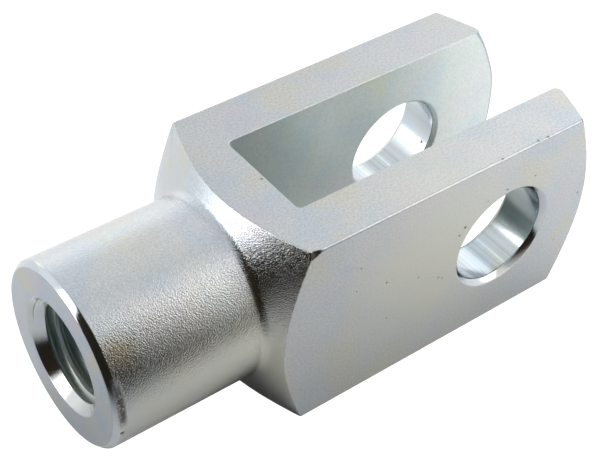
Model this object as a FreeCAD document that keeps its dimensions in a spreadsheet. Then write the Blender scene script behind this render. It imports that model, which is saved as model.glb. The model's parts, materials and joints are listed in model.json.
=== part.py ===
import FreeCAD, Part
import math
import os
import Sketcher

# A fork-head clevis, turned and milled from one length of square bar.
# Millimetres. The origin is the centre of the pin bore, on the shank's axis.
# X runs along that axis towards the mouth of the fork, Y along the pin, Z up.
# The slot between the two ears is open upwards, downwards and at the mouth.

# The driving sizes: name, value in millimetres or degrees, what it measures.
SIZES = [
    ("across_flats", 40.0, "width and height of the square bar"),
    ("bar_edge_radius", 0.5, "rounding along the bar's four long edges"),
    ("pin_to_shank_face", 80.0, "from the pin's axis back to the shank's end face"),
    ("pin_to_bar_end", 25.5, "from the pin's axis to the turned end, before it is slotted"),
    ("shank_diameter", 34.0, "turned shank"),
    ("shank_rim_chamfer", 1.0, "45 degree chamfer on the rim of the shank"),
    ("pin_to_shoulder", 50.8, "from the pin's axis back to where shoulder and shank meet"),
    ("shoulder_angle", 29.0, "lean of the shoulder's cone from a square shoulder"),
    ("shank_root_radius", 2.0, "concave radius between shank and shoulder"),
    ("end_face_diameter", 23.0, "flat left in the middle of the turned end"),
    ("end_cone_angle", 30.0, "lean of the end's cone from a square end"),
    ("end_blend_radius", 12.0, "radius between the end's cone and its flat"),
    ("slot_width", 20.3, "gap between the ears"),
    ("pin_to_slot_floor", 40.0, "from the pin's axis back to the floor of the slot"),
    ("slot_corner_radius", 1.0, "radius where the slot's walls meet its floor"),
    ("slot_mouth_radius", 0.7, "rounding of the ears' inner edges at the mouth"),
    ("pin_bore_diameter", 20.0, "reamed through both ears"),
    ("pin_bore_chamfer", 1.0, "45 degree chamfer where the pin goes in"),
    ("pin_bore_deburr", 0.7, "45 degree edge break on the slot side of each ear"),
    ("thread_diameter", 20.0, "major diameter of the shank's internal thread"),
    ("thread_pitch", 2.5, "pitch of the shank's internal thread"),
    ("countersink_diameter", 21.5, "mouth of the threaded bore, at 90 degrees"),
]

# An internal metric thread's crests stand this many pitches inside its major radius.
CREST_DEPTH_IN_PITCHES = 0.54127

# How close a point must lie to count as on a face or an edge, in millimetres.
NEAR = 0.01

doc = FreeCAD.newDocument("Clevis")
sheet = doc.addObject("Spreadsheet::Sheet", "Sizes")
for row, (name, value, meaning) in enumerate(SIZES, start=1):
    sheet.set(f"A{row}", name)
    sheet.set(f"B{row}", str(value))
    sheet.set(f"C{row}", meaning)
    sheet.setAlias(f"B{row}", name)
doc.recompute()


def size(name):
    """A driving size, as the sheet holds it."""
    return float(sheet.get(name))


def sketch_on(body, name, plane_role):
    """A new sketch on one of the body's own origin planes."""
    sketch = body.newObject("Sketcher::SketchObject", name)
    plane = next(item for item in body.Origin.OriginFeatures if item.Role == plane_role)
    sketch.AttachmentSupport = (plane, [""])
    sketch.MapMode = "FlatFace"
    return sketch


def drive(sketch, kind, formula, *where):
    """Add one dimension to a sketch and bind it to a formula in the sheet's names."""
    value = float(sketch.evalExpression(formula))
    index = sketch.addConstraint(Sketcher.Constraint(kind, *where, value))
    sketch.setExpression(f"Constraints[{index}]", formula)


def arc_between(start, end, radius):
    """The short arc that leaves start and turns left to end."""
    chord = end - start
    leftwards = FreeCAD.Vector(-chord.y, chord.x, 0).normalize()
    centre = start + chord / 2 + leftwards * math.sqrt(radius ** 2 - (chord.Length / 2) ** 2)
    angles = [math.atan2(point.y - centre.y, point.x - centre.x) for point in (start, end)]
    return Part.ArcOfCircle(Part.Circle(centre, FreeCAD.Vector(0, 0, 1), radius), *angles)


def draw_outline(sketch, corners):
    """A closed outline through corners, each one a pair of formulas.

    A third formula makes the side that leaves a corner an arc of that radius,
    which turns left; the other sides are straight.
    """
    points = []
    for across, up, *_ in corners:
        points.append(FreeCAD.Vector(sketch.evalExpression(across), sketch.evalExpression(up), 0))
    count = len(points)
    for index, (_, _, *bend) in enumerate(corners):
        start = points[index]
        end = points[(index + 1) % count]
        if bend:
            sketch.addGeometry(arc_between(start, end, float(sketch.evalExpression(bend[0]))))
        else:
            sketch.addGeometry(Part.LineSegment(start, end))
    for index, (across, up, *bend) in enumerate(corners):
        sketch.addConstraint(Sketcher.Constraint("Coincident", index, 2, (index + 1) % count, 1))
        drive(sketch, "DistanceX", across, index, 1)
        drive(sketch, "DistanceY", up, index, 1)
        if bend:
            drive(sketch, "Radius", bend[0], index)


def draw_circle(sketch, diameter):
    """A circle about the sketch's origin, its diameter given as a formula."""
    radius = float(sketch.evalExpression(diameter)) / 2
    sketch.addGeometry(Part.Circle(FreeCAD.Vector(0, 0, 0), FreeCAD.Vector(0, 0, 1), radius))
    sketch.addConstraint(Sketcher.Constraint("Coincident", 0, 3, -1, 1))
    drive(sketch, "Diameter", diameter, 0)


def edge_names(feature, wanted):
    """Names of the feature's edges for which wanted(edge) holds."""
    doc.recompute()
    names = []
    for index, edge in enumerate(feature.Shape.Edges, start=1):
        if wanted(edge):
            names.append(f"Edge{index}")
    if not names:
        raise ValueError(f"no edge of {feature.Name} fits the description")
    return names


def is_ring(edge, axis, radius, at):
    """Whether the edge is part of a circle about axis, of that radius, at that station."""
    if not isinstance(edge.Curve, Part.Circle):
        return False
    if abs(abs(edge.Curve.Axis.dot(axis)) - 1) > NEAR:
        return False
    station = edge.Curve.Center.dot(axis)
    return abs(edge.Curve.Radius - radius) < NEAR and abs(abs(station) - abs(at)) < NEAR


def is_straight_along(edge, axis):
    """Whether the edge is a straight line parallel to axis."""
    if not isinstance(edge.Curve, Part.Line):
        return False
    return abs(abs(edge.Curve.Direction.dot(axis)) - 1) < NEAR


def middle(edge):
    """The point halfway along an edge."""
    return edge.valueAt((edge.FirstParameter + edge.LastParameter) / 2)


def dress_edges(body, kind, name, base, edges, property_name, formula):
    """A fillet or chamfer on named edges of base, its size bound to a formula."""
    feature = body.newObject(kind, name)
    feature.Base = (base, edges)
    feature.setExpression(property_name, formula)
    doc.recompute()
    return feature


def turn_away(body, name, corners):
    """Turn away, about the shank's axis, all that the outline sweeps round it."""
    sketch = sketch_on(body, f"{name}_outline", "XZ_Plane")
    draw_outline(sketch, corners)
    groove = body.newObject("PartDesign::Groove", name)
    groove.Profile = sketch
    groove.ReferenceAxis = (sketch, ["H_Axis"])
    groove.Angle = 360
    doc.recompute()


X_AXIS = FreeCAD.Vector(1, 0, 0)
Y_AXIS = FreeCAD.Vector(0, 1, 0)
Z_AXIS = FreeCAD.Vector(0, 0, 1)

body = doc.addObject("PartDesign::Body", "Clevis_body")
body.Label = "clevis"

# The blank: a length of square bar along X, with its long edges rounded.
bar_section = sketch_on(body, "Bar_section", "YZ_Plane")
HALF_BAR = "Sizes.across_flats / 2"
draw_outline(bar_section, [
    (f"-{HALF_BAR}", f"-{HALF_BAR}"),
    (HALF_BAR, f"-{HALF_BAR}"),
    (HALF_BAR, HALF_BAR),
    (f"-{HALF_BAR}", HALF_BAR),
])
bar = body.newObject("PartDesign::Pad", "Bar")
bar.Profile = bar_section
bar.SideType = "Two sides"
bar.setExpression("Length", "Sizes.pin_to_bar_end")
bar.setExpression("Length2", "Sizes.pin_to_shank_face")

long_edges = edge_names(bar, lambda edge: is_straight_along(edge, X_AXIS))
dress_edges(
    body, "PartDesign::Fillet", "Bar_edges", bar, long_edges, "Radius", "Sizes.bar_edge_radius")

# The shank and its sloping shoulder. The outline runs from the rim chamfer
# along the shank, round the root radius and up the shoulder's cone, then
# closes well outside the bar. The root's arc starts and ends at one distance
# from where shank and cone would meet.
REACH = "Sizes.across_flats"
SHANK_RADIUS = "Sizes.shank_diameter / 2"
BEHIND_SHANK = "-Sizes.pin_to_shank_face - Sizes.shank_rim_chamfer"
ROOT_REACH = "(Sizes.shank_root_radius * tan((90 - Sizes.shoulder_angle) / 2))"
turn_away(body, "Shank", [
    (BEHIND_SHANK, f"{SHANK_RADIUS} - 2 * Sizes.shank_rim_chamfer"),
    ("-Sizes.pin_to_shank_face + Sizes.shank_rim_chamfer", SHANK_RADIUS),
    (f"-Sizes.pin_to_shoulder - {ROOT_REACH}", SHANK_RADIUS, "Sizes.shank_root_radius"),
    (f"-Sizes.pin_to_shoulder + {ROOT_REACH} * sin(Sizes.shoulder_angle)",
     f"{SHANK_RADIUS} + {ROOT_REACH} * cos(Sizes.shoulder_angle)"),
    (f"-Sizes.pin_to_shoulder + ({REACH} - {SHANK_RADIUS}) * tan(Sizes.shoulder_angle)", REACH),
    (BEHIND_SHANK, REACH),
])

# The fork's end, turned to a cone that cuts the four flats in shallow arcs.
# The outline leaves the flat in the middle, runs round the blend and out along
# the cone, then closes in front of the bar.
FLAT_RADIUS = "(Sizes.end_face_diameter / 2 - Sizes.end_blend_radius * tan(Sizes.end_cone_angle / 2))"
IN_FRONT = "Sizes.pin_to_bar_end + Sizes.slot_width"
turn_away(body, "Fork_end", [
    ("Sizes.pin_to_bar_end", FLAT_RADIUS, "Sizes.end_blend_radius"),
    ("Sizes.pin_to_bar_end - Sizes.end_blend_radius * (1 - cos(Sizes.end_cone_angle))",
     f"{FLAT_RADIUS} + Sizes.end_blend_radius * sin(Sizes.end_cone_angle)"),
    (f"Sizes.pin_to_bar_end - ({REACH} - Sizes.end_face_diameter / 2) * tan(Sizes.end_cone_angle)",
     REACH),
    (IN_FRONT, REACH),
    (IN_FRONT, FLAT_RADIUS),
])

# The slot, milled through from above to below and out at the mouth.
HALF_SLOT = "Sizes.slot_width / 2"
slot_plan = sketch_on(body, "Slot_plan", "XY_Plane")
draw_outline(slot_plan, [
    ("-Sizes.pin_to_slot_floor", f"-{HALF_SLOT}"),
    (IN_FRONT, f"-{HALF_SLOT}"),
    (IN_FRONT, HALF_SLOT),
    ("-Sizes.pin_to_slot_floor", HALF_SLOT),
])
slot = body.newObject("PartDesign::Pocket", "Slot")
slot.Profile = slot_plan
slot.Type = "ThroughAll"
slot.SideType = "Symmetric"

floor_corners = edge_names(slot, lambda edge: is_straight_along(edge, Z_AXIS)
                           and abs(middle(edge).x + size("pin_to_slot_floor")) < NEAR)
slot_corners = dress_edges(
    body, "PartDesign::Fillet", "Slot_corners", slot, floor_corners, "Radius",
    "Sizes.slot_corner_radius")


def is_mouth_edge(edge):
    """Whether the edge runs down an ear where the slot's wall meets the turned end."""
    wall = size("slot_width") / 2
    ends_on_wall = all(abs(abs(vertex.Point.y) - wall) < NEAR for vertex in edge.Vertexes)
    on_wall = ends_on_wall and abs(abs(middle(edge).y) - wall) < NEAR
    return on_wall and middle(edge).x > 0 and not is_straight_along(edge, X_AXIS)


mouth_edges = edge_names(slot_corners, is_mouth_edge)
dress_edges(
    body, "PartDesign::Fillet", "Slot_mouth", slot_corners, mouth_edges, "Radius",
    "Sizes.slot_mouth_radius")

# The pin bore, through both ears, chamfered outside and deburred in the slot.
pin_circle = sketch_on(body, "Pin_circle", "XZ_Plane")
draw_circle(pin_circle, "Sizes.pin_bore_diameter")
pin_bore = body.newObject("PartDesign::Pocket", "Pin_bore")
pin_bore.Profile = pin_circle
pin_bore.Type = "ThroughAll"
pin_bore.SideType = "Symmetric"

outer_rings = edge_names(pin_bore, lambda edge: is_ring(
    edge, Y_AXIS, size("pin_bore_diameter") / 2, size("across_flats") / 2))
bore_mouths = dress_edges(
    body, "PartDesign::Chamfer", "Pin_bore_mouths", pin_bore, outer_rings, "Size",
    "Sizes.pin_bore_chamfer")

inner_rings = edge_names(bore_mouths, lambda edge: is_ring(
    edge, Y_AXIS, size("pin_bore_diameter") / 2, size("slot_width") / 2))
dress_edges(
    body, "PartDesign::Chamfer", "Pin_bore_deburr", bore_mouths, inner_rings, "Size",
    "Sizes.pin_bore_deburr")

# The threaded bore, countersunk at the shank's end and open into the slot.
# It is bored to the thread's crests; the grooves between them aren't cut here.
thread_circle = sketch_on(body, "Thread_circle", "YZ_Plane")
thread_circle.setExpression("AttachmentOffset.Base.z", "-Sizes.pin_to_shank_face")
CREST_DIAMETER = f"Sizes.thread_diameter - 2 * {CREST_DEPTH_IN_PITCHES} * Sizes.thread_pitch"
draw_circle(thread_circle, CREST_DIAMETER)
doc.recompute()

thread_bore = body.newObject("PartDesign::Hole", "Thread_bore")
thread_bore.Profile = thread_circle
doc.recompute()
thread_bore.Reversed = True
thread_bore.DepthType = "Dimension"
thread_bore.DrillPoint = "Flat"
thread_bore.HoleCutType = "Countersink"
thread_bore.HoleCutCustomValues = True
thread_bore.HoleCutCountersinkAngle = 90
thread_bore.setExpression("Diameter", CREST_DIAMETER)
thread_bore.setExpression("Depth", "Sizes.pin_to_shank_face - Sizes.pin_to_slot_floor / 2")
thread_bore.setExpression("HoleCutDiameter", "Sizes.countersink_diameter")
doc.recompute()

body.Tip = thread_bore
doc.recompute()

for item in doc.Objects:
    if "Invalid" in item.State or "Error" in item.State:
        raise RuntimeError(f"{item.Name} didn't recompute: {item.State}")
if body.Shape.isNull() or not body.Shape.isValid() or len(body.Shape.Solids) != 1:
    raise RuntimeError("the clevis isn't one sound solid")

os.makedirs("parts", exist_ok=True)
body.Shape.exportStep(f"parts/{body.Label}.step")
print("volume", round(body.Shape.Volume, 1), "mm3, faces", len(body.Shape.Faces))
print("box", body.Shape.BoundBox)
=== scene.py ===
import json
import math

import bmesh
import bpy
from mathutils import Matrix, Vector


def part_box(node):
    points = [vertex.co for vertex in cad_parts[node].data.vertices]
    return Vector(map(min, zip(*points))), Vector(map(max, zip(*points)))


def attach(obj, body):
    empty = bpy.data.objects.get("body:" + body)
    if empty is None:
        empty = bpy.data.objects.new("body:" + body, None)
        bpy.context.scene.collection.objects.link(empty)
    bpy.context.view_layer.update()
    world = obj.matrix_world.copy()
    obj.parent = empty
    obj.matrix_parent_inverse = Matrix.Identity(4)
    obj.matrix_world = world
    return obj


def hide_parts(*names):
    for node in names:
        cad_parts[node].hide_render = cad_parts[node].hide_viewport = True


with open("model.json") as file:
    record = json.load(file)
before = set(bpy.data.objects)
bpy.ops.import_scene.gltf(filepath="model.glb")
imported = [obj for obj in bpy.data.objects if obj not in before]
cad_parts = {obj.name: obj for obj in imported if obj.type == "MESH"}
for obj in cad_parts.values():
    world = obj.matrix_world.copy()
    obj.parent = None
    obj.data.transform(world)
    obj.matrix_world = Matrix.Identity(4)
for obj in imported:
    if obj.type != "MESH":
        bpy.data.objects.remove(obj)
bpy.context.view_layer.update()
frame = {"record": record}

bl_info = {
    "name": "Fork-head clevis",
    "version": (1, 0, 0),
    "blender": (4, 5, 0),
    "location": "3D View > Sidebar > Clevis",
    "description": (
        "A zinc-plated fork head, turned and milled from square bar, on a pale studio floor"),
    "category": "Add Mesh",
}

# Metres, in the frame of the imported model: the origin is the middle of the pin
# bore, +X runs to the fork's mouth, Y is the pin's axis and +Z is up.
MM = 0.001
LOW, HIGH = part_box("clevis")
MOUNTS = {mount["name"]: mount for mount in frame["record"]["mounts"]}

X_AXIS = Vector((1, 0, 0))
Y_AXIS = Vector((0, 1, 0))
Z_AXIS = Vector((0, 0, 1))

# How finely round forms are divided: steps in a full turn, in a small quarter bend,
# along the turned end of an ear, from the ears' underside to their top and along the
# dark screen.
TURN_STEPS = 288
BEND_STEPS = 8
EAR_STEPS = 12
HEIGHT_STEPS = 52
SCREEN_STEPS = 48


def length(name, description, default):
    """A length that a user would change, in metres."""
    return bpy.props.FloatProperty(
        name=name, description=description, default=default, min=0.0, unit="LENGTH", precision=5)


def angle(name, description, degrees):
    """An angle that a user would change."""
    return bpy.props.FloatProperty(
        name=name, description=description, default=math.radians(degrees), unit="ROTATION")


def colour(name, description, default):
    """A colour that a user would change."""
    return bpy.props.FloatVectorProperty(
        name=name, description=description, default=default, min=0.0, max=1.0, subtype="COLOR")


def factor(name, description, default, most=1.0):
    """A plain share or strength that a user would change."""
    return bpy.props.FloatProperty(
        name=name, description=description, default=default, min=0.0, max=most, subtype="FACTOR")


def watts(name, description, default):
    """A lamp's power that a user would change."""
    return bpy.props.FloatProperty(
        name=name, description=description, default=default, min=0.0, unit="POWER")


class ClevisSizes(bpy.types.PropertyGroup):
    """Driving sizes of the fork head."""

    across_flats: length("Across flats", "Width and height of the square bar", HIGH.y - LOW.y)
    bar_edge: length("Bar edge", "Rounding along the bar's four long edges", 0.5 * MM)
    shank_face: length("Pin to shank face", "From the pin back to the shank's end", -LOW.x)
    bar_end: length("Pin to bar end", "From the pin to the turned end before slotting", 25.5 * MM)
    shank: length("Shank diameter", "Diameter of the turned shank", 34 * MM)
    rim_chamfer: length("Rim chamfer", "Chamfer on the rim of the shank", 1 * MM)
    shoulder: length(
        "Pin to shoulder", "From the pin back to where shoulder and shank meet", 50.8 * MM)
    shoulder_angle: angle("Shoulder angle", "Lean of the shoulder from a square one", 29)
    root: length("Shank root", "Concave radius between shank and shoulder", 2 * MM)
    end_flat: length("End flat", "Diameter at which the end's cone would meet its flat", 23 * MM)
    end_angle: angle("End angle", "Lean of the end's cone from a square end", 30)
    end_blend: length("End blend", "Radius between the end's cone and its flat", 12 * MM)
    slot_width: length("Slot width", "Gap between the ears", 20.3 * MM)
    slot_floor: length("Pin to slot floor", "From the pin back to the floor of the slot", 40 * MM)
    slot_corner: length("Slot corner", "Radius where the slot's walls meet its floor", 1 * MM)
    slot_mouth: length("Slot mouth", "Rounding of the ears' inner edges at the mouth", 0.7 * MM)
    mouth_corner: length(
        "Mouth corner", "That rounding where it runs out at the ears' corners", 1.3 * MM)
    pin_bore: length(
        "Pin bore", "Diameter of the pin bore", 2 * MOUNTS["pin_bore"]["dims"]["r_mm"] * MM)
    pin_chamfer: length("Pin bore chamfer", "Chamfer where the pin goes in", 1 * MM)
    pin_deburr: length("Pin bore deburr", "Edge break on the slot side of each ear", 0.7 * MM)
    thread_crest: length(
        "Thread crest", "Diameter across the internal thread's crests",
        2 * MOUNTS["threaded_bore"]["dims"]["r_mm"] * MM)
    thread_major: length("Thread diameter", "Major diameter of the internal thread", 20 * MM)
    thread_pitch: length("Thread pitch", "Pitch of the internal thread", 2.5 * MM)
    countersink: length("Countersink", "Mouth of the threaded bore, at 90 degrees", 21.5 * MM)
    edge_break: length("Edge break", "Fine rounding of every other machined edge", 0.22 * MM)


class ClevisFinish(bpy.types.PropertyGroup):
    """Colours of the zinc plate, with painted light in the slot's and the crests' colours."""

    zinc: colour("Zinc", "The plate's own colour", (0.47, 0.49, 0.50))
    blue: colour("Blue bloom", "Where the clear passivate is bluish", (0.41, 0.465, 0.52))
    straw: colour(
        "Straw bloom", "Where the clear passivate is straw coloured", (0.495, 0.485, 0.40))
    rose: colour("Rose bloom", "Where the clear passivate is faintly pink", (0.50, 0.45, 0.49))
    # Brighter than the zinc: the slot's own greenish plate, lifted as painted light that stands in
    # for the light reaching into the slot.
    slot: colour("Slot", "The greenish plate in the milled slot", (0.66, 0.71, 0.69))
    face: colour("Faced end", "The smooth plate on the faced ends", (0.345, 0.372, 0.405))
    bore: colour("Bore", "The bright plate in the reamed bore", (0.515, 0.56, 0.585))
    # Far brighter than the zinc: a polished burr on the crests, and a painted highlight along them.
    crest: colour("Crest", "The bright plate on the thread's crests", (0.88, 0.91, 0.88))
    flank: colour("Flank", "The green-grey plate on the thread's flanks", (0.60, 0.67, 0.65))
    gold: colour("Golden stain", "The stain on the shank near its rim", (0.36, 0.28, 0.14))
    grime: colour("Grime", "Dark specks and dirt", (0.035, 0.030, 0.020))
    bloom: factor("Bloom", "How strongly the passivate's colours show", 0.66)


class ClevisStudio(bpy.types.PropertyGroup):
    """Floor, light and camera."""

    floor: colour("Floor", "The pale floor", (0.80, 0.80, 0.80))
    glow: factor("Floor glow", "How much the floor that the camera sees shines by itself", 0.30)
    dome: factor("Dome", "Brightness of the light tent", 1.28, most=4.0)
    fill: watts("Floor light", "Power of the overhead light that only the floor takes", 5.3)
    low_fill: watts("Low floor light", "Power of the low light that only the floor takes", 0.04)
    window: factor("Window", "Brightness of the large soft light at the far left", 5.5, most=10.0)
    side: factor("Side light", "Brightness of the soft light at the right", 2.8, most=10.0)
    back: factor("Back light", "Brightness of the soft light behind the mouth", 1.85, most=10.0)
    lens: length("Focal length", "Camera lens on a 36 mm wide sensor", 86.1 * MM)


# Geometry shared by the operators.


def arc_points(centre, radius, start, end, steps):
    """Points round centre from one angle in degrees to another, both ends included."""
    points = []
    for step in range(steps + 1):
        turn = math.radians(start + (end - start) * step / steps)
        points.append((centre[0] + radius * math.cos(turn), centre[1] + radius * math.sin(turn)))
    return points


def new_object(name, mesh):
    """Link a mesh to the scene as an object at the origin."""
    piece = bpy.data.objects.new(name, mesh)
    bpy.context.scene.collection.objects.link(piece)
    return piece


def finish_mesh(form, name, finish):
    """Turn a bmesh into an object whose faces point outwards and wear one finish."""
    bmesh.ops.recalc_face_normals(form, faces=form.faces)
    mesh = bpy.data.meshes.new(name)
    form.to_mesh(mesh)
    form.free()
    mesh.materials.append(finish)
    return new_object(name, mesh)


def turned(name, axis, outline, finish, finishes=()):
    """A solid turned about axis, closed by flat ends.

    The outline is a list of (along, out) pairs. finishes gives other finishes
    for the sides between some stations: (from, to, finish) along the axis.
    """
    across = Z_AXIS if axis is not Z_AXIS else X_AXIS
    side = axis.cross(across)
    form = bmesh.new()
    rings = []
    for along, out in outline:
        ring = []
        for step in range(TURN_STEPS):
            turn = math.tau * (step + 0.5) / TURN_STEPS
            ring.append(form.verts.new(
                axis * along + across * (out * math.cos(turn)) + side * (out * math.sin(turn))))
        rings.append(ring)
    form.faces.new(rings[0])
    form.faces.new(rings[-1])
    for index in range(len(rings) - 1):
        station = (outline[index][0] + outline[index + 1][0]) / 2
        wears = 0
        for number, (start, end, _) in enumerate(finishes, start=1):
            if start <= station <= end:
                wears = number
        for step in range(TURN_STEPS):
            after = (step + 1) % TURN_STEPS
            face = form.faces.new((
                rings[index][step], rings[index][after],
                rings[index + 1][after], rings[index + 1][step]))
            face.material_index = wears
    piece = finish_mesh(form, name, finish)
    for _, _, other in finishes:
        piece.data.materials.append(other)
    return piece


def prism(name, plan, start, end, finish):
    """A prism along X from a closed plan of (across, up) points."""
    form = bmesh.new()
    ends = []
    for station in (start, end):
        ends.append([form.verts.new((station, across, up)) for across, up in plan])
    form.faces.new(ends[0])
    form.faces.new(ends[1])
    for index in range(len(plan)):
        after = (index + 1) % len(plan)
        form.faces.new((ends[0][index], ends[0][after], ends[1][after], ends[1][index]))
    return finish_mesh(form, name, finish)


def settle(piece):
    """Make what the piece's modifiers give its plain mesh, and drop the modifiers."""
    graph = bpy.context.evaluated_depsgraph_get()
    mesh = bpy.data.meshes.new_from_object(piece.evaluated_get(graph))
    piece.modifiers.clear()
    piece.data = mesh


def combine(piece, operation, tool):
    """Cut a tool from the piece, or keep what both share; cut faces take the tool's finish."""
    change = piece.modifiers.new(tool.name, "BOOLEAN")
    change.operation = operation
    change.object = tool
    change.solver = "EXACT"
    change.material_mode = "TRANSFER"
    settle(piece)
    bpy.data.objects.remove(tool)


def rounded_square(half, radius):
    """The bar's section: a square with rounded corners."""
    inner = half - radius
    centres = ((inner, inner), (-inner, inner), (-inner, -inner), (inner, -inner))
    plan = []
    for quarter, centre in enumerate(centres):
        plan += arc_points(centre, radius, 90 * quarter, 90 * (quarter + 1), BEND_STEPS)
    return plan


def turned_envelope(sizes, finishes):
    """What the lathe leaves at the shank's end: shank, root and shoulder, open towards the fork."""
    shank = sizes.shank / 2
    # Out past the bar's corners.
    reach = sizes.across_flats * 0.8
    lean = sizes.shoulder_angle
    root_reach = sizes.root * math.tan((math.pi / 2 - lean) / 2)
    root = arc_points(
        (-sizes.shoulder - root_reach, shank + sizes.root), sizes.root,
        -90, -math.degrees(lean), 2 * BEND_STEPS)
    rim = -sizes.shank_face + sizes.rim_chamfer
    outline = [
        (-sizes.shank_face, shank - sizes.rim_chamfer),
        (rim, shank),
        *root,
        (-sizes.shoulder + (reach - shank) * math.tan(lean), reach),
        (sizes.bar_end + reach, reach),
    ]
    return turned("turned envelope", X_AXIS, outline, finishes["faced"], [
        (-sizes.shank_face, rim, finishes["chamfered"]),
        (rim, 0, finishes["blasted"]),
    ])


def end_station(sizes, out):
    """Where the turned end lies along X at a distance out from the axis."""
    flat = sizes.end_flat / 2 - sizes.end_blend * math.tan(sizes.end_angle / 2)
    cone_start = flat + sizes.end_blend * math.sin(sizes.end_angle)
    if out <= flat:
        return sizes.bar_end
    if out >= cone_start:
        return sizes.bar_end - (out - sizes.end_flat / 2) * math.tan(sizes.end_angle)
    return sizes.bar_end - sizes.end_blend + math.sqrt(sizes.end_blend ** 2 - (out - flat) ** 2)


def steps_between(first, last, count):
    """Evenly spaced values, both ends included."""
    return [first + (last - first) * step / count for step in range(count + 1)]


# How far the slot's cutter keeps its lines from the bar's flats.
CLEAR_OF_FLATS = 0.6 * MM

# From this share of an ear's half height on, the mouth's rounding grows.
GROWS_FROM = 0.7

# How often the angle at the end of that rounding is worked out anew.
ROUNDS = 12


def ear_end(sizes, height):
    """One ear's end at a height, from the slot's wall outwards: its rounding, then the turned end.

    The rounding grows towards the ears' corners. The angle at which it meets the
    turned end depends on where that is, so it is found in a few rounds.
    """
    half = sizes.slot_width / 2
    near_corner = (abs(height) / (sizes.across_flats / 2) - GROWS_FROM) / (1 - GROWS_FROM)
    grown = (sizes.mouth_corner - sizes.slot_mouth) * min(1.0, max(0.0, near_corner)) ** 2
    radius = sizes.slot_mouth + grown
    lean = sizes.end_angle
    step = 0.01 * MM
    for _ in range(ROUNDS):
        touch = half + radius * (1 + math.sin(lean))
        ahead = end_station(sizes, math.hypot(touch + step, height))
        behind = end_station(sizes, math.hypot(touch - step, height))
        lean = math.atan((behind - ahead) / (2 * step))
    centre = end_station(sizes, math.hypot(touch, height)) - radius * math.cos(lean)
    plan = arc_points((centre, half + radius), radius, -90, math.degrees(lean), BEND_STEPS)
    flat = sizes.across_flats / 2
    outwards = steps_between(touch, flat - CLEAR_OF_FLATS, EAR_STEPS)[1:]
    outwards += [flat + CLEAR_OF_FLATS, flat + 6 * CLEAR_OF_FLATS]
    plan += [(end_station(sizes, math.hypot(out, height)), out) for out in outwards]
    return plan


def slot_cutter(sizes, finishes):
    """The slot between the ears, open above and below, with all that lies beyond the ears' ends.

    It is a stack of plans, one for each height. The edges that it leaves on the
    bar's flats can be broken cleanly, because it keeps its own lines clear of them.
    """
    half = sizes.slot_width / 2
    corner = sizes.slot_corner
    floor = -sizes.slot_floor
    back = arc_points((floor + corner, -half + corner), corner, 270, 180, BEND_STEPS)
    back += arc_points((floor + corner, half - corner), corner, 180, 90, BEND_STEPS)
    above = sizes.across_flats / 2 + CLEAR_OF_FLATS
    within = sizes.across_flats / 2 - CLEAR_OF_FLATS
    heights = [-above, *steps_between(-within, within, HEIGHT_STEPS), above]
    beyond = sizes.bar_end + sizes.slot_width
    form = bmesh.new()
    rings = []
    for height in heights:
        end = ear_end(sizes, height)
        end.append((beyond, end[-1][1]))
        plan = back + end + [(along, -across) for along, across in reversed(end)]
        rings.append([form.verts.new((along, across, height)) for along, across in plan])
    form.faces.new(rings[0])
    form.faces.new(rings[-1])
    milled = list(range(len(back))) + [len(rings[0]) - 1]
    for lower, upper in zip(rings, rings[1:]):
        for index in range(len(lower)):
            after = (index + 1) % len(lower)
            face = form.faces.new((lower[index], lower[after], upper[after], upper[index]))
            face.material_index = 0 if index in milled else 1
    piece = finish_mesh(form, "slot", finishes["milled"])
    piece.data.materials.append(finishes["faced"])
    return piece


def pin_bore_cutter(sizes, finishes):
    """The pin bore, chamfered outside the ears and deburred inside the slot."""
    bore = sizes.pin_bore / 2
    outer = sizes.across_flats / 2
    inner = sizes.slot_width / 2
    spare = sizes.pin_chamfer
    half = [
        (inner - spare, bore + sizes.pin_deburr + spare),
        (inner + sizes.pin_deburr, bore),
        (outer - sizes.pin_chamfer, bore),
        (outer + spare, bore + sizes.pin_chamfer + spare),
    ]
    outline = [(-along, out) for along, out in reversed(half)] + half
    return turned("pin bore", Y_AXIS, outline, finishes["chamfered"], [
        (-outer + sizes.pin_chamfer, -inner - sizes.pin_deburr, finishes["reamed"]),
        (inner + sizes.pin_deburr, outer - sizes.pin_chamfer, finishes["reamed"]),
        (-inner - sizes.pin_deburr, inner + sizes.pin_deburr, finishes["milled"]),
    ])


def drill_cutter(sizes, finishes):
    """The hole for the thread, drilled to its crests and countersunk at the shank's face."""
    crest = sizes.thread_crest / 2
    sink = sizes.countersink / 2
    face = -sizes.shank_face
    spare = 1 * MM
    outline = [
        (face - spare, sink + spare),
        (face + sink - crest, crest),
        (-sizes.slot_floor / 2, crest),
    ]
    return turned("tapping hole", X_AXIS, outline, finishes["crested"], [
        (face - spare, face + sink - crest, finishes["chamfered"]),
    ])


# Where along the bar's near upper edge a corner is knocked off.
KNOCKED_AT = -44.5 * MM


def knock_cutter(sizes, finishes):
    """The corner knocked off where the near side, the top and the shoulder meet.

    The wound's three ends lie along the bar's edge, down the near side and across
    the top. The cutter reaches past them, and a little deeper in its middle.
    """
    flat = sizes.across_flats / 2
    along = Vector((KNOCKED_AT + 2.3 * MM, -flat, flat))
    down = Vector((KNOCKED_AT - 0.3 * MM, -flat, flat - 1.5 * MM))
    across = Vector((KNOCKED_AT + 0.1 * MM, -flat + 0.8 * MM, flat))
    outside = Vector((KNOCKED_AT - 2 * MM, -flat - 2 * MM, flat + 2 * MM))
    middle = (along + down + across) / 3
    lift = Vector((0, -0.25, 0.25)) * MM
    rim = [middle + (end - middle) * 1.5 + lift for end in (along, down, across)]
    form = bmesh.new()
    bottom = form.verts.new(middle + Vector((0.05, 0.16, -0.16)) * MM)
    top = form.verts.new(outside)
    ring = [form.verts.new(end) for end in rim]
    for first, second in zip(ring, ring[1:] + ring[:1]):
        form.faces.new((first, second, bottom))
        form.faces.new((first, second, top))
    return finish_mesh(form, "knocked corner", finishes["chipped"])


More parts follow.
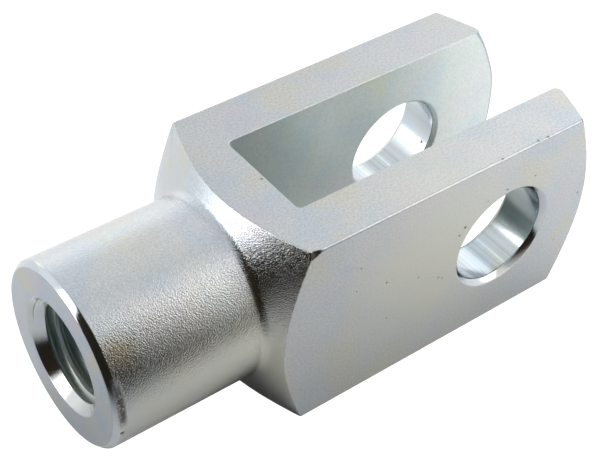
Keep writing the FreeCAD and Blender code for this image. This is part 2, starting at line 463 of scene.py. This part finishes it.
class Value:
    """A socket that carries one number, with Python's operators as Math nodes."""

    def __init__(self, graph, socket):
        self.graph = graph
        self.socket = socket

    def math(self, operation, *others):
        return self.graph.make("ShaderNodeMath", {"operation": operation}, [self, *others])

    def __add__(self, other):
        return self.math("ADD", other)

    def __sub__(self, other):
        return self.math("SUBTRACT", other)

    def __mul__(self, other):
        return self.math("MULTIPLY", other)

    def __truediv__(self, other):
        return self.math("DIVIDE", other)

    def __rsub__(self, other):
        return self.graph.make("ShaderNodeMath", {"operation": "SUBTRACT"}, [other, self])

    def __rtruediv__(self, other):
        return self.graph.make("ShaderNodeMath", {"operation": "DIVIDE"}, [other, self])

    def __neg__(self):
        return self * -1

    def __abs__(self):
        return self.math("ABSOLUTE")

    __radd__ = __add__
    __rmul__ = __mul__

    def ease(self, low, high):
        """A smooth step from 0 at low to 1 at high, whichever of the two is larger."""
        start, end = (0.0, 1.0) if low < high else (1.0, 0.0)
        return self.graph.make("ShaderNodeMapRange", {"interpolation_type": "SMOOTHSTEP"}, {
            "Value": self, "From Min": min(low, high), "From Max": max(low, high),
            "To Min": start, "To Max": end})


class Graph:
    """Nodes of a material, a world or a Geometry Nodes group, made one by one."""

    def __init__(self, tree):
        self.tree = tree

    def make(self, kind, settings=None, sockets=None, output=0):
        """Add a node: its settings first, then the values or links of its sockets."""
        node = self.tree.nodes.new(kind)
        for name, value in (settings or {}).items():
            setattr(node, name, value)
        given = sockets or {}
        for key, value in (given.items() if isinstance(given, dict) else enumerate(given)):
            if isinstance(value, Value):
                self.tree.links.new(value.socket, node.inputs[key])
            else:
                node.inputs[key].default_value = value
        return Value(self, node.outputs[output]) if len(node.outputs) else node

    def blend(self, share, first, second):
        """A colour part way from first to second."""
        ends = [(*end, 1.0) if isinstance(end, tuple) else end for end in (first, second)]
        return self.make(
            "ShaderNodeMix", {"data_type": "RGBA"}, {0: share, 6: ends[0], 7: ends[1]}, output=2)

    def vector(self, operation, first, second):
        """A vector from two vectors."""
        return self.make("ShaderNodeVectorMath", {"operation": operation}, [first, second])

    def distance(self, first, second):
        """How far apart two places are."""
        return self.make(
            "ShaderNodeVectorMath", {"operation": "DISTANCE"}, [first, second], output="Value")

    def parts(self, vector):
        """A vector's three numbers."""
        outputs = self.make("ShaderNodeSeparateXYZ", None, [vector]).socket.node.outputs
        return [Value(self, outputs[name]) for name in "XYZ"]

    def noise(self, at, size, detail=2.0, roughness=0.5):
        """Cloudy noise whose clouds are about size across."""
        return self.make("ShaderNodeTexNoise", None, {
            "Vector": at, "Scale": 1 / size, "Detail": detail, "Roughness": roughness})


def empty_graph(owner):
    """The node graph of a material or a world, emptied."""
    owner.use_nodes = True
    owner.node_tree.nodes.clear()
    return Graph(owner.node_tree)


def thread_tap_group():
    """A Geometry Nodes group: a thread form swept along a helix about Z, as one closed solid."""
    tree = bpy.data.node_groups.new("Thread tap", "GeometryNodeTree")
    tree.interface.new_socket("Geometry", in_out="OUTPUT", socket_type="NodeSocketGeometry")
    for name in ("Major Radius", "Crest Radius", "Pitch", "Length", "Start"):
        tree.interface.new_socket(name, in_out="INPUT", socket_type="NodeSocketFloat")
    tree.interface.new_socket("Steps", in_out="INPUT", socket_type="NodeSocketInt")
    tree.interface.new_socket("Finish", in_out="INPUT", socket_type="NodeSocketMaterial")
    graph = Graph(tree)
    group = tree.nodes.new("NodeGroupInput")
    major, crest, pitch, run, start, steps, finish = [
        Value(graph, socket) for socket in group.outputs[:7]]

    helix = graph.make("GeometryNodeCurveSpiral", None, {
        "Resolution": steps, "Rotations": run / pitch, "Start Radius": major,
        "End Radius": major, "Height": run, "Reverse": True})
    upright = graph.make("GeometryNodeSetCurveNormal", {"mode": "Z_UP"}, {"Curve": helix})

    # The groove's section, measured outwards from the major radius: a flat an
    # eighth of the pitch wide, then 60 degree flanks to well inside the crests.
    inwards = (major - crest) * 1.2
    root = pitch / 16
    mouth = root + inwards * math.tan(math.radians(30))
    corners = []
    for out, along in ((0.0, root), (0.0, -root), (-inwards, -mouth), (-inwards, mouth)):
        corners.append(graph.make("ShaderNodeCombineXYZ", None, [out, along]))
    section = graph.make("GeometryNodeCurvePrimitiveQuadrilateral", {"mode": "POINTS"}, {
        f"Point {number}": corner for number, corner in enumerate(corners, start=1)})
    swept = graph.make("GeometryNodeCurveToMesh", None, {
        "Curve": upright, "Profile Curve": section, "Fill Caps": True})

    place = graph.make("ShaderNodeCombineXYZ", None, [start])
    laid = graph.make("GeometryNodeTransform", None, {
        "Geometry": swept, "Translation": place, "Rotation": (0, math.pi / 2, 0)})
    plain = graph.make("GeometryNodeRealizeInstances", None, [laid])
    dressed = graph.make("GeometryNodeSetMaterial", None, {"Geometry": plain, "Material": finish})
    end = tree.nodes.new("NodeGroupOutput")
    tree.links.new(dressed.socket, end.inputs[0])
    return tree


def set_inputs(modifier, values):
    """Set a Geometry Nodes modifier's inputs by their sockets' identifiers."""
    for item in modifier.node_group.interface.items_tree:
        if item.in_out == "INPUT" and item.name in values:
            modifier[item.identifier] = values[item.name]


def thread_tap(sizes, finish):
    """The tap that cuts the internal thread, from outside the countersink into the slot."""
    tap = new_object("thread tap", bpy.data.meshes.new("thread tap"))
    grow = tap.modifiers.new("Thread tap", "NODES")
    grow.node_group = thread_tap_group()
    start = -sizes.shank_face - sizes.thread_pitch
    set_inputs(grow, {
        "Major Radius": sizes.thread_major / 2,
        "Crest Radius": sizes.thread_crest / 2,
        "Pitch": sizes.thread_pitch,
        "Length": -sizes.slot_floor + 2 * sizes.thread_pitch - start,
        "Start": start,
        "Steps": TURN_STEPS // 3,
        "Finish": finish,
    })
    settle(tap)
    form = bmesh.new()
    form.from_mesh(tap.data)
    bmesh.ops.recalc_face_normals(form, faces=form.faces)
    form.to_mesh(tap.data)
    form.free()
    return tap


# Edges that turn by more than this are machined edges, and get broken.
SHARP = math.radians(18)

# Faces that meet at more than this are shaded apart.
CREASE = math.radians(32)

# Corners that lie closer together than this are one.
SAME_PLACE = 0.004 * MM


def clean_form(piece):
    """The piece's mesh without stray doubles or lines across its flats."""
    form = bmesh.new()
    form.from_mesh(piece.data)
    bmesh.ops.remove_doubles(form, verts=form.verts, dist=SAME_PLACE)
    bmesh.ops.dissolve_limit(
        form, angle_limit=math.radians(0.05), verts=form.verts, edges=form.edges,
        delimit={"MATERIAL"})
    return form


def is_machined(edge):
    """Whether two of the piece's surfaces meet here at an angle."""
    return len(edge.link_faces) == 2 and edge.calc_face_angle() > SHARP


def break_edges(piece, sizes):
    """Round every machined edge a little."""
    form = clean_form(piece)
    weights = form.edges.layers.float.new("bevel_weight_edge")
    for edge in form.edges:
        if is_machined(edge):
            edge[weights] = 1.0
    form.to_mesh(piece.data)
    form.free()
    rounding = piece.modifiers.new("Edge breaks", "BEVEL")
    rounding.limit_method = "WEIGHT"
    rounding.width = sizes.edge_break
    rounding.segments = 3
    rounding.use_clamp_overlap = False
    settle(piece)


def smooth(piece):
    """Shade round forms smoothly and keep flats flat."""
    mesh = piece.data
    mesh.shade_smooth()
    mesh.set_sharp_from_angle(angle=CREASE)
    weigh = piece.modifiers.new("Flat flats", "WEIGHTED_NORMAL")
    weigh.keep_sharp = True
    settle(piece)


# Small dark specks: place in millimetres and how far each reaches.
SPECKS = (
    ((15.8, -19.8, 19.9), 0.45), ((5.1, -19.6, 20.0), 0.30), ((7.2, -19.7, 20.0), 0.32),
    ((-3.5, -19.6, 20.0), 0.30), ((-1.2, -20.0, 12.1), 0.34), ((5.7, -20.0, 12.0), 0.26),
    ((19.0, -20.0, 1.3), 0.30), ((-5.6, -20.0, 11.5), 0.26), ((-10.3, -20.0, 7.8), 0.42),
    ((-11.5, -20.0, 6.5), 0.36), ((-15.1, -20.0, -1.8), 0.30), ((-40.7, -0.8, 20.0), 0.30),
    ((-30.0, 20.0, 19.9), 0.34), ((9.1, 12.4, -4.1), 0.40), ((-27.7, -20.0, 4.1), 0.36),
    ((-20.2, -20.0, 1.0), 0.28), ((-34.5, -20.0, 5.9), 0.26), ((-14.2, -20.0, -2.4), 0.26),
    ((-26.8, -20.0, -5.2), 0.26), ((-34.0, -20.0, 11.0), 0.24), ((15.2, -20.0, -8.6), 0.24),
)


# The dull grey that shows between the plate's bright grains.
DULL = (0.26, 0.26, 0.255)


def bloomed(graph, look, at, plate, mottling, spread):
    """The plate's colour with drifting blue, straw and rose blooms, and a fine mottle.

    spread makes the blooms wider or, below 1, smaller and stronger.
    """
    bloom = look.bloom / spread
    drift = graph.noise(at, 9 * MM * spread, 4.0)
    other = graph.noise(graph.vector("ADD", at, (0.31, 0.17, 0.05)), 14 * MM * spread, 4.0)
    mottle = (graph.noise(at, 0.4 * MM, 3.0, 0.75) - 0.38).math("MAXIMUM", 0.0)
    blue, straw, rose = (
        tuple(part * wanted / zinc for part, wanted, zinc in zip(plate, tint, look.zinc))
        for tint in (look.blue, look.straw, look.rose))
    base = graph.blend(drift.ease(0.44, 0.64) * bloom, tuple(plate), blue)
    base = graph.blend(other.ease(0.50, 0.68) * bloom, base, straw)
    base = graph.blend(other.ease(0.46, 0.34) * (bloom * 0.45 / spread), base, rose)
    return graph.blend(mottle * mottling, base, DULL)


def speck_mask(graph, at):
    """1 in each speck, 0 elsewhere."""
    ragged = graph.noise(at, 0.35 * MM, 2.0)
    nearest = None
    for place, reach in SPECKS:
        away = graph.distance(at, tuple(Vector(place) * MM)) / (reach * MM)
        nearest = away if nearest is None else nearest.math("MINIMUM", away)
    return (nearest + (ragged - 0.5) * 2.4).ease(0.9, 0.4) * 0.75


def rim_dirt_mask(graph, at):
    """1 in the rough dirt that clings behind the shank's rim on the near side, and a spot below."""
    x, y, z = graph.parts(at)
    ragged = graph.noise(at, 0.45 * MM, 3.0, 0.7)
    strip = abs(x + 78.55 * MM).ease(0.95 * MM, 0.2 * MM) * y.ease(-12 * MM, -14 * MM)
    span = abs(z - 3.2 * MM).ease(5.6 * MM, 2.6 * MM)
    spot = graph.distance(at, (-78.7 * MM, -16.8 * MM, -3.4 * MM)).ease(0.5 * MM, 0.3 * MM)
    return (strip * span * ragged.ease(0.38, 0.50)).math("MAXIMUM", spot)


def plated(name, look, gloss, grain, plate=None, marks=None, stain=None, lines=None, warm_sheen_at=None,
           mottling=0.0, spread=1.0):
    """A zinc-plated finish.

    gloss is the roughness, grain the size and depth of the surface's grain, plate
    its own colour where it isn't the zinc's, marks a mask of dirt, stain (place,
    reach) a golden stain, lines (axis, pitch, depth, shade) fine tool marks across
    the axis, warm_sheen_at the middle of a straw cloud of painted warm reflection,
    mottling how strong the fine mottle is and spread how wide the blooms are.
    """
    plate = plate or look.zinc
    material = bpy.data.materials.new(name)
    graph = empty_graph(material)
    at = graph.make("ShaderNodeTexCoord", output="Object")
    base = bloomed(graph, look, at, plate, mottling, spread)
    # Painted warm reflection: a straw cloud that stands in for the warm floor the surface mirrors
    # there.
    if warm_sheen_at:
        cloud = graph.distance(at, tuple(Vector(warm_sheen_at) * MM)).ease(26 * MM, 6 * MM)
        base = graph.blend(cloud * 0.6, base, tuple(look.straw))
    patch = graph.noise(at, 6 * MM, 3.0)
    size, depth = grain
    height = graph.noise(at, size, 2.0, 0.55) * depth
    if lines:
        axis, pitch, reach, shade = lines
        place = graph.make("ShaderNodeCombineXYZ", None, [graph.parts(at)[axis]])
        cut = graph.noise(place, pitch, 3.0, 0.75)
        height = height + cut * reach
        base = graph.blend(cut.ease(0.42, 0.62) * shade, base, tuple(0.35 * part for part in plate))
    rough = gloss + (patch - 0.5) * 0.08
    metal = 1.0
    if stain:
        place, reach = stain
        cloud = graph.distance(at, tuple(Vector(place) * MM)).ease(reach * MM, 0.2 * reach * MM)
        cloud = cloud * graph.noise(at, 0.45 * MM, 3.0, 0.7).ease(0.32, 0.62)
        base = graph.blend(cloud * 0.78, base, tuple(look.gold))
    if marks:
        mask = marks(graph, at)
        base = graph.blend(mask * 0.9, base, tuple(look.grime))
        rough = rough + mask * 0.35
        metal = 1 - mask * 0.85
        height = height + mask * graph.noise(at, 0.25 * MM, 2.0) * (0.12 * MM)
    bump = graph.make("ShaderNodeBump", None, {"Strength": 1.0, "Distance": 1.0, "Height": height})
    shader = graph.make("ShaderNodeBsdfPrincipled", None, {
        "Base Color": base, "Metallic": metal, "Roughness": rough, "Normal": bump})
    graph.make("ShaderNodeOutputMaterial", None, {"Surface": shader})
    return material


def finishes_of(look):
    """Every finish on the fork head, by how its surface was made."""
    satin = (0.20 * MM, 0.020 * MM)
    sandy = (0.23 * MM, 0.076 * MM)
    clean = (0.30 * MM, 0.003 * MM)
    turned_fine = (0.20 * MM, 0.010 * MM)
    milled = (0.30 * MM, 0.012 * MM)
    broken = (0.20 * MM, 0.080 * MM)
    return {
        # The straw clouds on the drawn flats and the grainy shank are painted warm reflection.
        "drawn": plated("drawn flats", look, 0.30, satin, marks=speck_mask,
                        warm_sheen_at=(-17, -20, 3), mottling=2.0),
        "blasted": plated("grainy turned", look, 0.09, sandy, marks=rim_dirt_mask,
                          stain=((-76.9, -13.5, 10.3), 5.4), warm_sheen_at=(-62, -17, -2), mottling=0.8),
        "faced": plated("faced end", look, 0.26, clean, plate=look.face, spread=0.55),
        "chamfered": plated("bright chamfer", look, 0.10, turned_fine, marks=rim_dirt_mask),
        # The slot's plate is brightened here as painted light in the slot.
        "milled": plated("milled slot", look, 0.42, milled, plate=look.slot, mottling=0.8),
        "reamed": plated("reamed bore", look, 0.18, clean, plate=look.bore, marks=speck_mask,
                         lines=(0, 0.9 * MM, 0.004 * MM, 0.22)),
        "tapped": plated("tapped flanks", look, 0.42, clean, plate=look.flank,
                         lines=(0, 0.14 * MM, 0.02 * MM, 0.5)),
        # Thread crests: a polished burr, brightened further as a painted highlight.
        "crested": plated("thread crests", look, 0.42, clean, plate=look.crest),
        "chipped": plated("chipped corner", look, 0.5, broken, plate=(0.10, 0.09, 0.075)),
    }


class CLEVIS_OT_fork_head(bpy.types.Operator):
    """Turn, mill, bore and tap the fork head, break its edges and plate it"""

    bl_idname = "clevis.fork_head"
    bl_label = "Make the fork head"

    def execute(self, context):
        sizes = context.scene.clevis_sizes
        finishes = finishes_of(context.scene.clevis_finish)
        spare = sizes.across_flats / 4
        piece = prism(
            "fork_head", rounded_square(sizes.across_flats / 2, sizes.bar_edge),
            -sizes.shank_face - spare, sizes.bar_end + spare, finishes["drawn"])
        combine(piece, "INTERSECT", turned_envelope(sizes, finishes))
        combine(piece, "DIFFERENCE", slot_cutter(sizes, finishes))
        combine(piece, "DIFFERENCE", pin_bore_cutter(sizes, finishes))
        combine(piece, "DIFFERENCE", drill_cutter(sizes, finishes))
        combine(piece, "DIFFERENCE", knock_cutter(sizes, finishes))
        break_edges(piece, sizes)
        combine(piece, "DIFFERENCE", thread_tap(sizes, finishes["tapped"]))
        smooth(piece)
        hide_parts("clevis")
        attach(piece, "root")
        return {"FINISHED"}


# Where the camera stands, the point it looks at, how far it is rolled anticlockwise
# and how wide its sensor is.
CAMERA_PLACE = Vector((-150.2, -143.1, 176.6)) * MM
CAMERA_AIM = Vector((-29.3, 2.05, 0.0)) * MM
CAMERA_ROLL = math.radians(3.77)
SENSOR = 36 * MM

# The dark screen: the middle that it is bent round, its radius, its span in degrees,
# its top, how far down it thins out towards the top, and the stations along X between
# which it thickens from its least.
SCREEN_MIDDLE = (-35 * MM, 0)
SCREEN_RADIUS = 125 * MM
SCREEN_SPAN = (-185, -63)
SCREEN_TOP = 250 * MM
SCREEN_SOFT = 110 * MM
SCREEN_FADE = (22 * MM, -46 * MM)
SCREEN_LEAST = 0.35
DARKNESS = (0.030, 0.024, 0.016)

# A black sheet on the floor at the camera's side, seen in reflections alone as painted shade on the
# floor
# they show: the middle of its near edge, the way it runs from there, its size, how far its edge
# fades and how black it gets.
REFLECTED_SHADE_EDGE = Vector((-70, -27, 0)) * MM
REFLECTED_SHADE_TURN = math.radians(-125)
REFLECTED_SHADE_SIZE = 1.8
REFLECTED_SHADE_FADE = 63 * MM
REFLECTED_SHADE_MOST = 0.97

# How far the floor runs each way from the origin.
FLOOR_REACH = 6.0

# The two lamps for the floor: where each hangs and its diameter.
HIGH_LAMP = ((0, 0, 1.2), 1.2)
LOW_LAMP = ((0.05, -0.09, 0.08), 0.06)

# The soft panels round the part: azimuth from +X towards +Y, elevation, width, height
# and softness of the edge, all in degrees.
WINDOW = (157, 16, 24, 44, 4)
SIDE = (-42, 34, 36, 46, 8)
BACK = (26, 34, 46, 44, 9)
STRIP = (92, 58, 9, 30, 4)
FAR_SIDE = (84, 4, 70, 44, 14)
STRIP_POWER = 2.2
FAR_SIDE_POWER = 1.9

# The dome's tint low down, half way up and overhead.
DOME_LOW = (1.14, 1.14, 1.15)
DOME_MIDDLE = (0.88, 0.89, 0.905)
DOME_TOP = (0.77, 0.79, 0.80)


def light_patch(x, y, z, azimuth, elevation, wide, high, soft):
    """1 inside an upright soft-edged patch of the surroundings, 0 outside; all in degrees.

    x, y and z are the direction looked in.
    """
    turn = math.radians(azimuth)
    across = y * math.cos(turn) - x * math.sin(turn)
    ahead = x * math.cos(turn) + y * math.sin(turn)
    beside = abs(across.math("ARCTAN2", ahead))
    above = abs(z.math("ARCSINE") - math.radians(elevation))

    def within(away, span):
        return away.ease(math.radians(span / 2 + soft), math.radians(max(0.0, span / 2 - soft)))

    return within(beside, wide) * within(above, high)


class CLEVIS_OT_studio(bpy.types.Operator):
    """Lay the pale floor, hang the soft lights and set the camera"""

    bl_idname = "clevis.studio"
    bl_label = "Set the studio"

    def execute(self, context):
        studio = context.scene.clevis_studio
        self.lay_floor(studio)
        self.stand_screen()
        self.lay_reflected_shade()
        self.light_tent(context, studio)
        self.light_floor(context, studio)
        self.set_camera(context, studio)
        return {"FINISHED"}

    def lay_floor(self, studio):
        """A wide, matt, pale sheet under the part, and a lit one in its place for the camera."""
        for name, glow, for_camera in (("floor", 0.0, False), ("lit floor", studio.glow, True)):
            form = bmesh.new()
            bmesh.ops.create_grid(form, x_segments=1, y_segments=1, size=FLOOR_REACH)
            bmesh.ops.translate(form, verts=form.verts, vec=(0, 0, LOW.z))
            paper = bpy.data.materials.new(name)
            graph = empty_graph(paper)
            shader = graph.make("ShaderNodeBsdfPrincipled", None, {
                "Base Color": (*studio.floor, 1.0), "Roughness": 0.9, "Specular IOR Level": 0.2,
                "Emission Color": (1.0, 1.0, 1.0, 1.0), "Emission Strength": glow})
            graph.make("ShaderNodeOutputMaterial", None, {"Surface": shader})
            sheet = finish_mesh(form, name, paper)
            sheet.visible_camera = for_camera
            sheet.visible_glossy = not for_camera
            sheet.visible_diffuse = not for_camera
            sheet.visible_shadow = not for_camera

    def place_black(self, form, name, fade, cast=False):
        """Make a black sheet of a form, out of the camera's sight.

        fade gives how black it is over its face. One that casts no shadow is
        seen by polished surfaces alone.
        """
        black = bpy.data.materials.new(name)
        graph = empty_graph(black)
        cloth = graph.make("ShaderNodeBsdfDiffuse", None, {"Color": (*DARKNESS, 1.0)})
        clear = graph.make("ShaderNodeBsdfTransparent")
        shader = graph.make("ShaderNodeMixShader", None, {0: fade(graph), 1: clear, 2: cloth})
        graph.make("ShaderNodeOutputMaterial", None, {"Surface": shader})
        sheet = finish_mesh(form, name, black)
        sheet.visible_camera = False
        sheet.visible_diffuse = cast
        sheet.visible_shadow = cast

    def stand_screen(self):
        """A dark upright screen, bent round the part on the camera's side."""
        form = bmesh.new()
        plan = arc_points(SCREEN_MIDDLE, SCREEN_RADIUS, *SCREEN_SPAN, SCREEN_STEPS)
        rings = [[form.verts.new((x, y, z)) for x, y in plan] for z in (LOW.z, SCREEN_TOP)]
        for step in range(SCREEN_STEPS):
            form.faces.new((rings[0][step], rings[0][step + 1], rings[1][step + 1], rings[1][step]))

        def fade(graph):
            x, _, z = graph.parts(graph.make("ShaderNodeTexCoord", output="Object"))
            along = x.ease(*SCREEN_FADE) * (1 - SCREEN_LEAST) + SCREEN_LEAST
            return along * z.ease(SCREEN_TOP, SCREEN_TOP - SCREEN_SOFT)

        self.place_black(form, "screen", fade, cast=True)

    def lay_reflected_shade(self):
        """A black sheet on the floor at the camera's side, seen by polished surfaces alone: painted
        shade on the floor in their reflections.
        """
        form = bmesh.new()
        bmesh.ops.create_grid(form, x_segments=1, y_segments=1, size=REFLECTED_SHADE_SIZE / 2)
        towards = Vector((math.cos(REFLECTED_SHADE_TURN), math.sin(REFLECTED_SHADE_TURN), 0))
        middle = REFLECTED_SHADE_EDGE + towards * (REFLECTED_SHADE_SIZE / 2) + Vector((0, 0, LOW.z + 0.5 * MM))
        place = Matrix.Translation(middle) @ Matrix.Rotation(REFLECTED_SHADE_TURN, 4, "Z")
        bmesh.ops.transform(form, verts=form.verts, matrix=place)

        def fade(graph):
            at = graph.make("ShaderNodeTexCoord", output="Object")
            reach = graph.make(
                "ShaderNodeVectorMath", {"operation": "DOT_PRODUCT"}, [at, towards], output="Value")
            return (reach - REFLECTED_SHADE_EDGE.dot(towards)).ease(0.0, REFLECTED_SHADE_FADE) * REFLECTED_SHADE_MOST

        self.place_black(form, "reflected shade", fade)

    def light_floor(self, context, studio):
        """A wide overhead light and a low one beside the near ear, both for the floor alone."""
        for name, (place, size), power in (
                ("floor light", HIGH_LAMP, studio.fill),
                ("low floor light", LOW_LAMP, studio.low_fill)):
            lamp = bpy.data.lights.new(name, "AREA")
            lamp.shape = "DISK"
            lamp.size = size
            lamp.energy = power
            light = bpy.data.objects.new(name, lamp)
            light.location = place
            light.visible_glossy = False
            light.visible_camera = False
            context.scene.collection.objects.link(light)

    def light_tent(self, context, studio):
        """Soft light from all round, with brighter panels."""
        world = bpy.data.worlds.new("light tent")
        context.scene.world = world
        graph = empty_graph(world)
        x, y, z = graph.parts(graph.make("ShaderNodeTexCoord", output="Generated"))
        dome = graph.blend(z.ease(0.25, 0.70), DOME_LOW, DOME_MIDDLE)
        dome = graph.blend(z.ease(0.70, 0.95), dome, DOME_TOP)
        lit = graph.make(
            "ShaderNodeVectorMath", {"operation": "SCALE"}, {0: dome, "Scale": studio.dome})
        for panel, power in (
                (WINDOW, studio.window), (SIDE, studio.side), (BACK, studio.back),
                (STRIP, STRIP_POWER), (FAR_SIDE, FAR_SIDE_POWER)):
            bright = light_patch(x, y, z, *panel) * power
            lit = graph.vector("MAXIMUM", lit, graph.make(
                "ShaderNodeCombineXYZ", None, [bright, bright, bright]))
        background = graph.make("ShaderNodeBackground", None, {"Color": lit, "Strength": 1.0})
        graph.make("ShaderNodeOutputWorld", None, {"Surface": background})

    def set_camera(self, context, studio):
        """The photograph's view."""
        lens = bpy.data.cameras.new("camera")
        lens.sensor_width = SENSOR / MM
        lens.lens = studio.lens / MM
        lens.clip_start = 5 * MM
        camera = bpy.data.objects.new("camera", lens)
        context.scene.collection.objects.link(camera)
        ahead = CAMERA_AIM - CAMERA_PLACE
        level = ahead.to_track_quat("-Z", "Y").to_matrix().to_4x4()
        roll = Matrix.Rotation(CAMERA_ROLL, 4, "Z")
        camera.matrix_world = Matrix.Translation(CAMERA_PLACE) @ level @ roll
        context.scene.camera = camera


class CLEVIS_PT_panel(bpy.types.Panel):
    """Lists the fork head's operators, sizes and colours"""

    bl_idname = "CLEVIS_PT_panel"
    bl_label = "Clevis"
    bl_space_type = "VIEW_3D"
    bl_region_type = "UI"
    bl_category = "Clevis"

    def draw(self, context):
        layout = self.layout
        for step in STEPS:
            layout.operator(step.bl_idname)
        for name in GROUPS:
            group = getattr(context.scene, name)
            box = layout.box()
            for field in group.bl_rna.properties.keys():
                if field not in ("rna_type", "name"):
                    box.prop(group, field)


STEPS = (CLEVIS_OT_fork_head, CLEVIS_OT_studio)
CLASSES = (ClevisSizes, ClevisFinish, ClevisStudio, *STEPS, CLEVIS_PT_panel)
GROUPS = {"clevis_sizes": ClevisSizes, "clevis_finish": ClevisFinish, "clevis_studio": ClevisStudio}


def register():
    for cls in CLASSES:
        bpy.utils.register_class(cls)
    for name, cls in GROUPS.items():
        setattr(bpy.types.Scene, name, bpy.props.PointerProperty(type=cls))


def unregister():
    for name in GROUPS:
        delattr(bpy.types.Scene, name)
    for cls in reversed(CLASSES):
        bpy.utils.unregister_class(cls)


def main():
    register()
    bpy.ops.clevis.fork_head()
    bpy.ops.clevis.studio()
    bpy.context.scene.view_settings.view_transform = "Standard"


if __name__ == "__main__":
    main()
